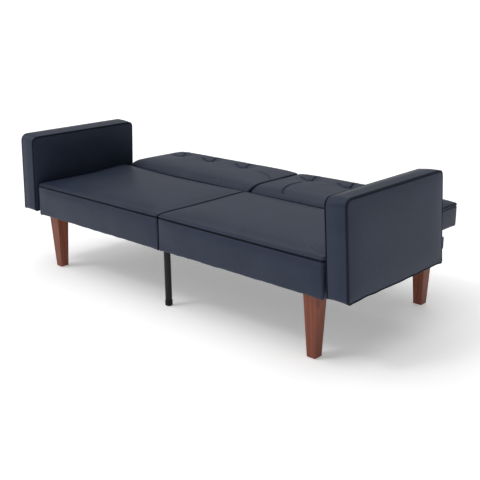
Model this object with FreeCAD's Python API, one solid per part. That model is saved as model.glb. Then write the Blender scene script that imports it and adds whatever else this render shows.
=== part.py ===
import FreeCAD, Part
import math
import os

# Click-clack futon sofa bed, laid flat as a bed. Millimetres.
# X runs along the sofa, Y from front to back, Z up. The origin is on the floor, under the middle of
# the sofa's box. "left" is the -X half, as seen from the front.

os.makedirs("parts", exist_ok=True)
V = FreeCAD.Vector

# ---- driving dimensions ----
LENGTH = 1900.0            # over the feet of the leaning arms
DEPTH = 891.0              # arm fronts to the far edge of the flat backs
HEIGHT = 612.0             # top of the arms
FRONT = -DEPTH / 2
REAR = DEPTH / 2

ARM_T = 91.0
ARM_D = 590.0
ARM_Z0 = 262.0
ARM_LEAN = 0.055           # outward run per millimetre of drop
ARM_SKIN = 12.0            # foam and cover on the arm's wooden core
ARM_PLY = 12.0
ARM_TOP_R = 40.0           # front top corner
ARM_REAR_R = 24.0          # rear top corner
ARM_LOW_R = 14.0           # lower corners
ARM_LEAST_R = 2.0          # corners inside the wooden core
ARM_IN_TOP = LENGTH / 2 - ARM_T - ARM_LEAN * (HEIGHT - ARM_Z0)
ARM_BLOCK_X0 = 780.0       # X span of the upright block that an arm's leaning faces are cut from
ARM_BLOCK_X1 = 990.0
ARM_BOLT_YS = (-330.0, -150.0, 30.0)
ARM_BOLT_Z = 284.0
ARM_BOLT_R = 4.0
ARM_BOLT_LONG = 82.0       # from the side rail's inner face
ARM_BOLT_HEAD_R = 6.5
ARM_BOLT_HEAD_H = 5.0
CLEAT_Y0 = -372.0
CLEAT_Y1 = 72.0
CLEAT_X1 = 880.0           # inside the arm, before its inner face trims the cleat
CLEAT_RISE = 4.0           # above the arm's lower edge

RAIL_W = 25.0              # steel rails, box section on edge
RAIL_H = 45.0
RAIL_WALL = 1.5
RAIL_Z0 = 250.0
RAIL_Z1 = RAIL_Z0 + RAIL_H
SIDE_RAIL_X = 812.0        # inner face of a side rail
CENTRE_RAIL_X = 20.0       # inner face of a centre rail
FRONT_RAIL_Y = -412.0      # front face of the front rail
REAR_RAIL_Y = 320.0        # front face of the rear rail
CROSS_RAIL_Y = 48.0        # front face of the cross rail under the seat's rear edge

LEG_X = 762.0
LEG_FRONT_Y = -384.5
LEG_REAR_Y = 311.5
LEG_TOP = 61.0             # square section at the top
LEG_FOOT = 39.0            # square section at the foot
LEG_EDGE = 2.0             # fillet on the long edges
GLIDE_H = 3.0
GLIDE_R = 12.0
PLATE_T = 3.0              # leg plates and centre leg flange
LEG_PLATE_X0 = 728.0
LEG_PLATE_Y = 67.0
LEG_Z1 = RAIL_Z0 - PLATE_T
STUD_R = 4.0
STUD_SHIFT = 10.5          # the studs stand this far inwards of the leg's centre, clear of the rails
STUD_IN_LEG = 40.0
STUD_PAST_NUT = 3.0
NUT_R = 8.0
NUT_H = 8.0

TUBE_R = 14.0              # centre leg
TUBE_WALL = 1.5
TUBE_Y = -393.5
FOOT_R = 15.5
FOOT_H = 24.0
FOOT_EDGE = 5.0
FLANGE_X = 35.0
FLANGE_Y0 = -412.0
FLANGE_Y1 = -352.0
SCREW_X = 27.0             # each side of the middle
SCREW_YS = (-400.0, -366.0)
SCREW_R = 3.0
SCREW_HEAD_R = 5.0
SCREW_HEAD_H = 3.0
SCREW_PAST = 6.0           # past the rail's lower wall

HALF_GAP = 2.0             # from the middle plane to a seat half
SEAT_END = 838.0
SEAT_Y0 = -438.0
SEAT_Y1 = 89.5
SEAT_Z0 = 250.0
SEAT_Z1 = 402.0
DECK_T = 12.0
DECK_X0 = 6.0
DECK_X1 = 830.0
DECK_Y1 = 77.0
FASCIA_T = 15.0
FASCIA_RISE = 6.0          # above the rails' underside
PAD_EDGE_R = 12.0
PAD_HEM_R = 6.0
PAD_OVER_RAIL = 2.0        # from the rails' top to the foam
COVER_T = 1.0              # black dust covers
COVER_NOTCH = 3.0          # room round plates

BACK_X0 = 4.0
BACK_X1 = 834.0
BACK_Y0 = 101.5
BACK_Z0 = 319.0
BACK_Z1 = 417.0
BACK_TOP_R = 30.0          # near top edge: it rolls past the seat as the back rises
BACK_LOW_R = 15.0
BACK_FAR_R = 10.0          # far top edge
BOARD_T = 10.0
FRAME_Z0 = 322.0           # wooden frame inside the back
FRAME_H = 40.0
FRAME_W = 20.0
FRAME_Y0 = 112.0
FRAME_Y1 = 432.0
BOARD_INSET = 5.0          # from the hinge arms
BACK_COVER_LAP = 10.0      # of the dust cover over the ribs
BACK_COVER_EDGE = 2.0      # from the frame's front and far edges
BUTTON_R = 11.0
BUTTON_H = 6.0
BUTTON_DOWN = 13.0         # depth of a button's recess
BUTTON_ROOM = 4.0          # recess beyond the button's rim
BUTTON_EDGE = 3.0
BUTTON_Y = 377.0
BUTTON_XS = {-1: (-738.0, -523.0, -293.0), 1: (121.0, 336.0, 566.0)}

PIVOT_Y = 150.0
PIVOT_Z = 372.0
EAR_T = 4.0                # hinge plate on the base
EAR_FEET = [(118.0, 261.0, 8.0), (182.0, 261.0, 8.0)]     # lower corners: Y, Z, radius
EAR_PIVOT_R = 18.0         # the plate's rim round the pivot
EAR_PIN_R = 9.0            # and round the pawl pin and the stop
EAR_BOLTS = [(122.0, 272.0), (178.0, 272.0)]
EAR_BOLT_PAST = 6.0        # past the rail's wall
GAP = 0.5                  # between the two hinge plates
ARM_PLATE_T = 4.0          # hinge plate on the back
PLATE_IN = EAR_T + GAP
PLATE_OUT = PLATE_IN + ARM_PLATE_T
RIB_OUT = PLATE_OUT + FRAME_W
ARM_HUB_R = 20.0           # hinge arm, round the pivot
ARM_TAIL = (330.0, 342.0, 14.0)           # its far end: Y, Z, radius
ARM_BOLTS = [(235.0, 345.0), (315.0, 343.0)]
RIVET_R = 6.0
RUNNING = 0.05             # radial running clearance
RIVET_HEAD_R = 11.0
RIVET_TAIL_R = 9.5
RIVET_HEAD_H = 3.0
SIDE_PLAY = 0.2            # between moving parts, along the pins
RATCHET_R = 30.0
NOTCH_R = 4.0
CLICK_DEG = (45.0, 62.0, 80.0)            # back angles with a click
PAWL_Y = 126.0
PAWL_Z = 314.0
PAWL_PIN_R = 4.0
PAWL_PIN_HEAD_R = 6.0
PAWL_PIN_HEAD_H = 2.0
PAWL_PIN_BACK = 7.0        # from the ear to the pin's head, through the spring
PAWL_HUB_R = 8.0
PAWL_TIP_R = 5.0
PAWL_TIP_Y = 156.5
PAWL_TIP_Z = 338.5
PAWL_CLEAR = 0.6           # pawl to ratchet rim
STOP_R = 5.0
STOP_CLEAR = 0.15
STOP_ALONG = 55.0          # from the pivot, along the hinge arm's lower edge
SPRING_T0 = -6.0           # ends of the coil, behind the ear
SPRING_T1 = -1.0
SPRING_R = 7.0
SPRING_WIRE = 0.8
SPRING_TURNS = 3
SLOT_Y0 = 90.0
SLOT_Y1 = 216.0
SLOT_Z1 = 404.0
SLOT_BEHIND = 10.0         # room behind the ear
SLOT_BEYOND = 4.0          # and past the hinge arm
ARM_SLOT_Y1 = 350.0        # the narrower slot round the hinge arm
ARM_SLOT_Z1 = 384.0
ARM_SLOT_ROOM = 1.5
BOLT_R = 3.0
BOLT_HEAD_R = 5.0
BOLT_HEAD_H = 4.0
FLUSH_HEAD = 0.3           # flush bolt heads stand this proud
OVER = 1.0                 # cutting shapes run this far past what they cut
TRIM = 20.0                # and trimming shapes this far

# ---- what repeats ----
HINGES = [(-1, True), (-1, False), (1, False), (1, True)]       # side, at the outer end of its back
LEGS = [(side, y, place) for y, place in ((LEG_FRONT_Y, "front"), (LEG_REAR_Y, "rear")) for side in (-1, 1)]
CENTRE_SCREWS = [(side * SCREW_X, y) for side in (-1, 1) for y in SCREW_YS]


# ---- small builders ----
def box(xa, xb, y0, y1, z0, z1):
    x0 = min(xa, xb)
    return Part.makeBox(abs(xb - xa), y1 - y0, z1 - z0, V(x0, y0, z0))


def rod(radius, xa, xb, y, z):
    """A cylinder along X."""
    return Part.makeCylinder(radius, abs(xb - xa), V(min(xa, xb), y, z), V(1, 0, 0))


def post(radius, z0, z1, x, y):
    """A cylinder along Z."""
    return Part.makeCylinder(radius, z1 - z0, V(x, y, z0))


def fuse(shapes):
    solid = shapes[0].multiFuse(shapes[1:]) if len(shapes) > 1 else shapes[0]
    return solid.removeSplitter()


def group(shapes):
    return Part.makeCompound(shapes)


def save(name, shape):
    shape.exportStep(os.path.join("parts", name + ".step"))


def belt(circles, xa, xb):
    """The plate that a belt stretched round circles (y, z, radius), listed anticlockwise, encloses."""
    count = len(circles)
    normals = []
    for i in range(count):
        y0, z0, r0 = circles[i]
        y1, z1, r1 = circles[(i + 1) % count]
        gap = math.hypot(y1 - y0, z1 - z0)
        normals.append(math.atan2(z1 - z0, y1 - y0) - math.acos((r0 - r1) / gap))
    x0 = min(xa, xb)
    edges = []
    for i in range(count):
        y, z, r = circles[i]
        start = normals[i - 1]
        turn = (normals[i] - start) % (2 * math.pi)
        angles = (start, start + turn / 2, start + turn)
        rim = [V(x0, y + r * math.cos(a), z + r * math.sin(a)) for a in angles]
        edges.append(Part.Arc(*rim).toShape())
        y1, z1, r1 = circles[(i + 1) % count]
        arrive = V(x0, y1 + r1 * math.cos(normals[i]), z1 + r1 * math.sin(normals[i]))
        edges.append(Part.LineSegment(rim[2], arrive).toShape())
    face = Part.Face(Part.Wire(edges))
    return face.extrude(V(abs(xb - xa), 0, 0))


def rounded_section(y0, y1, z0, z1, radii, xa, xb):
    """A box along X whose corners (low front, low rear, top rear, top front) are rounded."""
    front_low, rear_low, rear_top, front_top = radii
    circles = [
        (y0 + front_low, z0 + front_low, front_low),
        (y1 - rear_low, z0 + rear_low, rear_low),
        (y1 - rear_top, z1 - rear_top, rear_top),
        (y0 + front_top, z1 - front_top, front_top),
    ]
    return belt(circles, xa, xb)


def hinge_x(side, outer, t):
    """X of a hinge layer at offset t from its rail's face, towards the middle of the back."""
    return side * (SIDE_RAIL_X - t) if outer else side * (CENTRE_RAIL_X + RAIL_W + t)


def side_name(side):
    return "left" if side < 0 else "right"


# ---- base frame ----
def tube(xa, xb, y0, y1, along_x):
    outer = box(xa, xb, y0, y1, RAIL_Z0, RAIL_Z1)
    w = RAIL_WALL
    x0, x1 = min(xa, xb), max(xa, xb)
    if along_x:
        inner = box(x0 - OVER, x1 + OVER, y0 + w, y1 - w, RAIL_Z0 + w, RAIL_Z1 - w)
    else:
        inner = box(x0 + w, x1 - w, y0 - OVER, y1 + OVER, RAIL_Z0 + w, RAIL_Z1 - w)
    return outer.cut(inner)


def arm_bolt_holes(side, clearance):
    x0 = side * (SIDE_RAIL_X - OVER)
    x1 = side * (SIDE_RAIL_X + ARM_BOLT_LONG)
    return [rod(ARM_BOLT_R + clearance, x0, x1, y, ARM_BOLT_Z) for y in ARM_BOLT_YS]


def side_rail(side):
    x0 = side * SIDE_RAIL_X
    rail = tube(x0, x0 + side * RAIL_W, FRONT_RAIL_Y, REAR_RAIL_Y + RAIL_W, False)
    return rail.cut(group(arm_bolt_holes(side, SIDE_PLAY) + ear_bolt_holes(side, True)))


def centre_rail(side):
    x0 = side * CENTRE_RAIL_X
    rail = tube(x0, x0 + side * RAIL_W, FRONT_RAIL_Y + RAIL_W, REAR_RAIL_Y, False)
    return rail.cut(group(ear_bolt_holes(side, False)))


def cross_rails():
    pieces = []
    for side in (-1, 1):
        span = (side * (CENTRE_RAIL_X + RAIL_W), side * SIDE_RAIL_X)
        pieces.append(tube(*span, CROSS_RAIL_Y, CROSS_RAIL_Y + RAIL_W, True))
    pieces.append(tube(-CENTRE_RAIL_X, CENTRE_RAIL_X, CROSS_RAIL_Y, CROSS_RAIL_Y + RAIL_W, True))
    return group(pieces)


# ---- legs ----
def square_wire(x, y, z, size):
    h = size / 2
    corners = [V(x - h, y - h, z), V(x + h, y - h, z), V(x + h, y + h, z), V(x - h, y + h, z)]
    return Part.makePolygon(corners + corners[:1])


def stud_y(leg_y):
    return leg_y + STUD_SHIFT if leg_y < 0 else leg_y - STUD_SHIFT


def wood_leg(side, leg_y):
    x = side * LEG_X
    ends = [square_wire(x, leg_y, GLIDE_H, LEG_FOOT), square_wire(x, leg_y, LEG_Z1, LEG_TOP)]
    leg = Part.makeLoft(ends, True, True)
    long_edges = [e for e in leg.Edges if e.BoundBox.ZLength > LEG_TOP]
    leg = leg.makeFillet(LEG_EDGE, long_edges)
    return leg.cut(post(STUD_R, LEG_Z1 - STUD_IN_LEG, LEG_Z1 + OVER, x, stud_y(leg_y)))


def leg_plate(side, leg_y):
    """A welded corner plate with the nut that the leg's stud screws into."""
    front = leg_y < 0
    y0 = FRONT_RAIL_Y if front else REAR_RAIL_Y + RAIL_W - LEG_PLATE_Y
    y1 = y0 + LEG_PLATE_Y
    plate = box(side * LEG_PLATE_X0, side * (SIDE_RAIL_X + RAIL_W), y0, y1, LEG_Z1, RAIL_Z0)
    nut = post(NUT_R, RAIL_Z0, RAIL_Z0 + NUT_H, side * LEG_X, stud_y(leg_y))
    hole = post(STUD_R, LEG_Z1 - OVER, RAIL_Z0 + NUT_H + OVER, side * LEG_X, stud_y(leg_y))
    return fuse([plate, nut]).cut(hole)


def leg_stud(side, leg_y):
    top = RAIL_Z0 + NUT_H + STUD_PAST_NUT
    return post(STUD_R, LEG_Z1 - STUD_IN_LEG, top, side * LEG_X, stud_y(leg_y))


def leg_glide(side, leg_y):
    return post(GLIDE_R, 0, GLIDE_H, side * LEG_X, leg_y)


def centre_leg_tube():
    outer = post(TUBE_R, GLIDE_H, LEG_Z1, 0, TUBE_Y)
    return outer.cut(post(TUBE_R - TUBE_WALL, GLIDE_H - OVER, LEG_Z1 + OVER, 0, TUBE_Y))


def centre_leg_flange():
    flange = box(-FLANGE_X, FLANGE_X, FLANGE_Y0, FLANGE_Y1, LEG_Z1, RAIL_Z0)
    return flange.cut(group([post(SCREW_R, LEG_Z1 - OVER, RAIL_Z0 + OVER, x, y) for x, y in CENTRE_SCREWS]))


def centre_leg_foot():
    cap = post(FOOT_R, 0, FOOT_H, 0, TUBE_Y)
    low_edge = [e for e in cap.Edges if e.BoundBox.ZMax < GLIDE_H]
    cap = cap.makeFillet(FOOT_EDGE, low_edge)
    return cap.cut(post(TUBE_R, GLIDE_H, FOOT_H + OVER, 0, TUBE_Y))


def centre_leg_screw(x, y):
    shank = post(SCREW_R, LEG_Z1, RAIL_Z0 + RAIL_WALL + SCREW_PAST, x, y)
    return fuse([shank, post(SCREW_HEAD_R, LEG_Z1 - SCREW_HEAD_H, LEG_Z1, x, y)])


def rail_screw_holes():
    top = RAIL_Z0 + RAIL_WALL + SCREW_PAST + OVER
    return group([post(SCREW_R, RAIL_Z0 - OVER, top, x, y) for x, y in CENTRE_SCREWS])


# ---- seat ----
def seat_deck(side):
    return box(side * DECK_X0, side * DECK_X1, FRONT_RAIL_Y, DECK_Y1, RAIL_Z1, RAIL_Z1 + DECK_T)


def seat_fascia(side):
    top = RAIL_Z1 + DECK_T
    y0 = FRONT_RAIL_Y - FASCIA_T
    return box(side * DECK_X0, side * DECK_X1, y0, FRONT_RAIL_Y, RAIL_Z0 + FASCIA_RISE, top)


def seat_pad(side):
    """Foam and cover, open below for the deck, the fascia and the rails."""
    radii = (PAD_HEM_R, PAD_HEM_R, PAD_EDGE_R, PAD_EDGE_R)
    pad = rounded_section(SEAT_Y0, SEAT_Y1, SEAT_Z0, SEAT_Z1, radii, side * HALF_GAP, side * SEAT_END)
    y0 = FRONT_RAIL_Y - FASCIA_T
    low = SEAT_Z0 - OVER
    deck_room = box(side * DECK_X0, side * DECK_X1, y0, DECK_Y1, low, RAIL_Z1 + DECK_T)
    rail_room = box(0, side * (SEAT_END + OVER), y0, SEAT_Y1 + OVER, low, RAIL_Z1 + PAD_OVER_RAIL)
    return pad.cut(deck_room).cut(rail_room)


def base_dust_cover():
    """Cloth stapled under the rails, cut away round the front leg plates and the centre leg's flange."""
    low, high = LEG_Z1 - OVER, RAIL_Z0 + OVER
    y0 = FRONT_RAIL_Y - OVER
    sheet = box(-SIDE_RAIL_X, SIDE_RAIL_X, FRONT_RAIL_Y, CROSS_RAIL_Y + RAIL_W, RAIL_Z0 - COVER_T, RAIL_Z0)
    flange_x = FLANGE_X + COVER_NOTCH
    notches = [box(-flange_x, flange_x, y0, FLANGE_Y1 + COVER_NOTCH, low, high)]
    for side in (-1, 1):
        x0, x1 = side * (LEG_PLATE_X0 - COVER_NOTCH), side * (SIDE_RAIL_X + OVER)
        notches.append(box(x0, x1, y0, FRONT_RAIL_Y + LEG_PLATE_Y + COVER_NOTCH, low, high))
    return sheet.cut(group(notches))


# ---- arms ----
def arm_slab(side, inset):
    """The leaning slab between an arm's two faces, moved in by inset on each."""
    def x_in(z):
        return side * (ARM_IN_TOP + ARM_LEAN * (HEIGHT - z) + inset)

    def x_out(z):
        return side * (ARM_IN_TOP + ARM_LEAN * (HEIGHT - z) + ARM_T - inset)

    low, high = ARM_Z0 - TRIM, HEIGHT + TRIM
    y = FRONT - TRIM
    corners = [V(x_in(low), y, low), V(x_out(low), y, low), V(x_out(high), y, high), V(x_in(high), y, high)]
    face = Part.Face(Part.makePolygon(corners + corners[:1]))
    return face.extrude(V(0, ARM_D + 2 * TRIM, 0))


def arm_block(side, inset):
    radii = [max(r - inset, ARM_LEAST_R) for r in (ARM_LOW_R, ARM_LOW_R, ARM_REAR_R, ARM_TOP_R)]
    y0, y1 = FRONT + inset, FRONT + ARM_D - inset
    z0, z1 = ARM_Z0 + inset, HEIGHT - inset
    block = rounded_section(y0, y1, z0, z1, radii, side * ARM_BLOCK_X0, side * ARM_BLOCK_X1)
    return block.common(arm_slab(side, inset))


def arm_core(side):
    shell = arm_block(side, ARM_SKIN).cut(arm_block(side, ARM_SKIN + ARM_PLY))
    return shell.cut(group(arm_bolt_holes(side, 0.0)))


def arm_pad(side):
    skin = arm_block(side, 0).cut(arm_block(side, ARM_SKIN))
    return skin.cut(group(arm_bolt_holes(side, SIDE_PLAY)))


def arm_cleat(side):
    """Hardwood wedge between the side rail and the leaning arm."""
    x0 = side * (SIDE_RAIL_X + RAIL_W)
    block = box(x0, side * CLEAT_X1, CLEAT_Y0, CLEAT_Y1, ARM_Z0 + CLEAT_RISE, RAIL_Z1)
    return block.cut(arm_slab(side, 0)).cut(group(arm_bolt_holes(side, SIDE_PLAY)))


def arm_bolts(side):
    bolts = []
    x1 = side * SIDE_RAIL_X
    for shank, y in zip(arm_bolt_holes(side, 0.0), ARM_BOLT_YS):
        head = rod(ARM_BOLT_HEAD_R, x1 - side * ARM_BOLT_HEAD_H, x1, y, ARM_BOLT_Z)
        bolts.append(fuse([shank, head]))
    return bolts


# ---- hinges ----
def stop_centre():
    """Where the stop pin stands, so that the hinge arm's lower edge rests on it when the back is flat."""
    tail_y, tail_z, tail_r = ARM_TAIL
    gap = math.hypot(tail_y - PIVOT_Y, tail_z - PIVOT_Z)
    heading = math.atan2(tail_z - PIVOT_Z, tail_y - PIVOT_Y)
    normal = heading - math.acos((ARM_HUB_R - tail_r) / gap)
    along = normal + math.pi / 2
    down = ARM_HUB_R + STOP_R + STOP_CLEAR
    y = PIVOT_Y + down * math.cos(normal) + STOP_ALONG * math.cos(along)
    z = PIVOT_Z + down * math.sin(normal) + STOP_ALONG * math.sin(along)
    return y, z


def bore(radius, side, outer, t0, t1, y, z):
    """A cylinder along a hinge's pins, between offsets t0 and t1."""
    return rod(radius, hinge_x(side, outer, t0), hinge_x(side, outer, t1), y, z)


def ear_bolt_holes(side, outer):
    behind = -RAIL_WALL - EAR_BOLT_PAST - OVER
    return [bore(BOLT_R, side, outer, behind, EAR_T + OVER, y, z) for y, z in EAR_BOLTS]


def hinge_ear(side, outer):
    """Plate bolted to a rail, with the stop pin that the back's hinge arm rests on."""
    x0, x1 = hinge_x(side, outer, 0), hinge_x(side, outer, EAR_T)
    stop_y, stop_z = stop_centre()
    pins = [(stop_y, stop_z, EAR_PIN_R), (PIVOT_Y, PIVOT_Z, EAR_PIVOT_R), (PAWL_Y, PAWL_Z, EAR_PIN_R)]
    stop = bore(STOP_R, side, outer, EAR_T, PLATE_OUT - SIDE_PLAY, stop_y, stop_z)
    ear = fuse([belt(EAR_FEET + pins, x0, x1), stop])
    holes = ear_bolt_holes(side, outer)
    holes.append(bore(RIVET_R, side, outer, -OVER, EAR_T + OVER, PIVOT_Y, PIVOT_Z))
    holes.append(bore(PAWL_PIN_R, side, outer, -OVER, EAR_T + OVER, PAWL_Y, PAWL_Z))
    return ear.cut(group(holes))


def ear_bolts(side, outer):
    bolts = []
    for y, z in EAR_BOLTS:
        shank = bore(BOLT_R, side, outer, -RAIL_WALL - EAR_BOLT_PAST, EAR_T, y, z)
        head = bore(BOLT_HEAD_R, side, outer, EAR_T, EAR_T + BOLT_HEAD_H, y, z)
        bolts.append(fuse([shank, head]))
    return bolts


def pivot_rivet(side, outer):
    tail = PLATE_OUT + SIDE_PLAY
    layers = [
        (RIVET_HEAD_R, -RIVET_HEAD_H, 0.0),
        (RIVET_R, 0.0, tail),
        (RIVET_TAIL_R, tail, PLATE_OUT + RIVET_HEAD_H),
    ]
    return fuse([bore(r, side, outer, t0, t1, PIVOT_Y, PIVOT_Z) for r, t0, t1 in layers])


def pawl_pin(side, outer):
    layers = [
        (PAWL_PIN_HEAD_R, -PAWL_PIN_BACK - PAWL_PIN_HEAD_H, -PAWL_PIN_BACK),
        (PAWL_PIN_R, -PAWL_PIN_BACK, PLATE_OUT - SIDE_PLAY),
    ]
    return fuse([bore(r, side, outer, t0, t1, PAWL_Y, PAWL_Z) for r, t0, t1 in layers])


def pawl_spring(side, outer):
    """Torsion coil between the pin's head and the ear."""
    a, b = hinge_x(side, outer, SPRING_T0), hinge_x(side, outer, SPRING_T1)
    length = abs(b - a)
    coil = Part.makeHelix(length / SPRING_TURNS, length, SPRING_R - SPRING_WIRE)
    start = coil.Edges[0].valueAt(coil.Edges[0].FirstParameter)
    heading = coil.Edges[0].tangentAt(coil.Edges[0].FirstParameter)
    section = Part.Wire([Part.makeCircle(SPRING_WIRE, start, heading)])
    wire = Part.Wire(coil).makePipeShell([section], True, True)
    wire.rotate(V(0, 0, 0), V(0, 1, 0), 90)
    wire.translate(V(min(a, b), PAWL_Y, PAWL_Z))
    return wire


def hinge_arm(side, outer):
    """Plate bolted to the back's rib: a ratchet rim round the pivot and an arm."""
    x0, x1 = hinge_x(side, outer, PLATE_IN), hinge_x(side, outer, PLATE_OUT)
    rim = rod(RATCHET_R, x0, x1, PIVOT_Y, PIVOT_Z)
    arm = belt([(PIVOT_Y, PIVOT_Z, ARM_HUB_R), ARM_TAIL], x0, x1)
    tip = math.atan2(PAWL_TIP_Z - PIVOT_Z, PAWL_TIP_Y - PIVOT_Y)
    t0, t1 = PLATE_IN - OVER, PLATE_OUT + OVER
    cuts = [bore(RIVET_R + RUNNING, side, outer, t0, t1, PIVOT_Y, PIVOT_Z)]
    for click in CLICK_DEG:
        a = tip - math.radians(click)
        y, z = PIVOT_Y + RATCHET_R * math.cos(a), PIVOT_Z + RATCHET_R * math.sin(a)
        cuts.append(bore(NOTCH_R, side, outer, t0, t1, y, z))
    for y, z in ARM_BOLTS:
        cuts.append(bore(BOLT_R, side, outer, t0, t1, y, z))
    return fuse([rim, arm]).cut(group(cuts))


def arm_plate_bolts(side, outer):
    """Bolts through the hinge arm and the rib, with nuts on the far side."""
    layers = [
        (BOLT_HEAD_R, PLATE_IN - FLUSH_HEAD, PLATE_IN),
        (BOLT_R, PLATE_IN, RIB_OUT),
        (BOLT_HEAD_R, RIB_OUT, RIB_OUT + BOLT_HEAD_H),
    ]
    bolts = []
    for y, z in ARM_BOLTS:
        bolts.append(fuse([bore(r, side, outer, t0, t1, y, z) for r, t0, t1 in layers]))
    return bolts


def pawl(side, outer):
    """Stands clear of the ear and the rib, with its nose just off the ratchet rim."""
    x0, x1 = hinge_x(side, outer, PLATE_IN + SIDE_PLAY), hinge_x(side, outer, PLATE_OUT - SIDE_PLAY)
    body = belt([(PAWL_Y, PAWL_Z, PAWL_HUB_R), (PAWL_TIP_Y, PAWL_TIP_Z, PAWL_TIP_R)], x0, x1)
    rim = bore(RATCHET_R + PAWL_CLEAR, side, outer, 0, PLATE_OUT + OVER, PIVOT_Y, PIVOT_Z)
    hole = bore(PAWL_PIN_R + RUNNING, side, outer, 0, PLATE_OUT + OVER, PAWL_Y, PAWL_Z)
    return body.cut(rim).cut(hole)


# ---- backs ----
def back_slot(side, outer):
    """Room in the foam for one hinge over its whole travel."""
    low = BACK_Z0 - OVER
    x0, x1 = hinge_x(side, outer, -SLOT_BEHIND), hinge_x(side, outer, PLATE_OUT + SLOT_BEYOND)
    ear_room = box(x0, x1, SLOT_Y0, SLOT_Y1, low, SLOT_Z1)
    x0, x1 = hinge_x(side, outer, PLATE_IN - ARM_SLOT_ROOM), hinge_x(side, outer, PLATE_OUT)
    arm_room = box(x0, x1, SLOT_Y1 - OVER, ARM_SLOT_Y1, low, ARM_SLOT_Z1)
    return [ear_room, arm_room]


def back_span(side, t):
    """X of the two ends of the back's frame at offset t from the hinge rails' faces."""
    return hinge_x(side, False, t), hinge_x(side, True, t)


def back_rib(side, outer):
    x0, x1 = hinge_x(side, outer, PLATE_OUT), hinge_x(side, outer, RIB_OUT)
    rib = box(x0, x1, FRAME_Y0, FRAME_Y1, FRAME_Z0, FRAME_Z0 + FRAME_H)
    return rib.cut(group([rod(BOLT_R, x0, x1, y, z) for y, z in ARM_BOLTS]))


def back_rail(side, near):
    y0 = FRAME_Y0 if near else FRAME_Y1 - FRAME_W
    return box(*back_span(side, RIB_OUT), y0, y0 + FRAME_W, FRAME_Z0, FRAME_Z0 + FRAME_H)


def back_board(side):
    z0 = FRAME_Z0 + FRAME_H
    return box(*back_span(side, PLATE_OUT + BOARD_INSET), FRAME_Y0, FRAME_Y1, z0, z0 + BOARD_T)


def back_pad(side):
    """Foam and cover, open below for the frame, with a slot for each hinge and a recess for each button."""
    radii = (BACK_LOW_R, BACK_LOW_R, BACK_FAR_R, BACK_TOP_R)
    pad = rounded_section(BACK_Y0, REAR, BACK_Z0, BACK_Z1, radii, side * BACK_X0, side * BACK_X1)
    top = FRAME_Z0 + FRAME_H + BOARD_T
    frame_room = box(*back_span(side, PLATE_OUT), FRAME_Y0, FRAME_Y1, BACK_Z0 - OVER, top)
    cuts = [frame_room] + back_slot(side, True) + back_slot(side, False)
    for x in BUTTON_XS[side]:
        cuts.append(post(BUTTON_R + BUTTON_ROOM, BACK_Z1 - BUTTON_DOWN, BACK_Z1 + OVER, x, BUTTON_Y))
    return pad.cut(fuse(cuts))


def back_dust_cover(side):
    z0 = FRAME_Z0 - COVER_T
    y0, y1 = FRAME_Y0 + BACK_COVER_EDGE, FRAME_Y1 - BACK_COVER_EDGE
    return box(*back_span(side, RIB_OUT - BACK_COVER_LAP), y0, y1, z0, FRAME_Z0)


def back_button(x):
    z0 = BACK_Z1 - BUTTON_DOWN
    button = post(BUTTON_R, z0, z0 + BUTTON_H, x, BUTTON_Y)
    top_edge = [e for e in button.Edges if e.BoundBox.ZMin > z0 and e.BoundBox.XLength > BUTTON_R]
    return button.makeFillet(BUTTON_EDGE, top_edge)


# ---- write every node ----
front_rail = tube(-SIDE_RAIL_X, SIDE_RAIL_X, FRONT_RAIL_Y, FRONT_RAIL_Y + RAIL_W, True)
save("base_front_rail", front_rail.cut(rail_screw_holes()))
save("base_rear_rail", tube(-SIDE_RAIL_X, SIDE_RAIL_X, REAR_RAIL_Y, REAR_RAIL_Y + RAIL_W, True))
save("base_cross_rails", cross_rails())
save("base_dust_cover", base_dust_cover())

for s in (-1, 1):
    name = side_name(s)
    save("base_side_rail_" + name, side_rail(s))
    save("base_centre_rail_" + name, centre_rail(s).cut(rail_screw_holes()))
    save("seat_deck_" + name, seat_deck(s))
    save("seat_fascia_" + name, seat_fascia(s))
    save("seat_pad_" + name, seat_pad(s))
    save("arm_core_" + name, arm_core(s))
    save("arm_pad_" + name, arm_pad(s))
    save("back_board_" + name, back_board(s))
    save("back_near_rail_" + name, back_rail(s, True))
    save("back_far_rail_" + name, back_rail(s, False))
    save("back_rib_outer_" + name, back_rib(s, True))
    save("back_rib_inner_" + name, back_rib(s, False))
    save("back_pad_" + name, back_pad(s))
    save("back_dust_cover_" + name, back_dust_cover(s))
    save("back_buttons_" + name, group([back_button(x) for x in BUTTON_XS[s]]))
    save("hinge_arms_" + name, group([hinge_arm(s, True), hinge_arm(s, False)]))
    save("hinge_arm_bolts_" + name, group(arm_plate_bolts(s, True) + arm_plate_bolts(s, False)))

for s, y, place in LEGS:
    save("wood_leg_" + place + "_" + side_name(s), wood_leg(s, y))
save("leg_plates", group([leg_plate(s, y) for s, y, _ in LEGS]))
save("leg_studs", group([leg_stud(s, y) for s, y, _ in LEGS]))
save("leg_glides", group([leg_glide(s, y) for s, y, _ in LEGS]))
save("centre_leg_tube", centre_leg_tube())
save("centre_leg_flange", centre_leg_flange())
save("centre_leg_foot", centre_leg_foot())
save("centre_leg_screws", group([centre_leg_screw(x, y) for x, y in CENTRE_SCREWS]))

save("arm_cleats", group([arm_cleat(s) for s in (-1, 1)]))
save("arm_bolts", group(arm_bolts(-1) + arm_bolts(1)))
save("hinge_ears", group([hinge_ear(s, outer) for s, outer in HINGES]))
save("hinge_ear_bolts", group([b for s, outer in HINGES for b in ear_bolts(s, outer)]))
save("pivot_rivets", group([pivot_rivet(s, outer) for s, outer in HINGES]))
save("pawl_pins", group([pawl_pin(s, outer) for s, outer in HINGES]))
save("pawl_springs", group([pawl_spring(s, outer) for s, outer in HINGES]))
for s, outer in HINGES:
    save("pawl_" + side_name(s) + ("_outer" if outer else "_inner"), pawl(s, outer))
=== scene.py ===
import math

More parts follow.
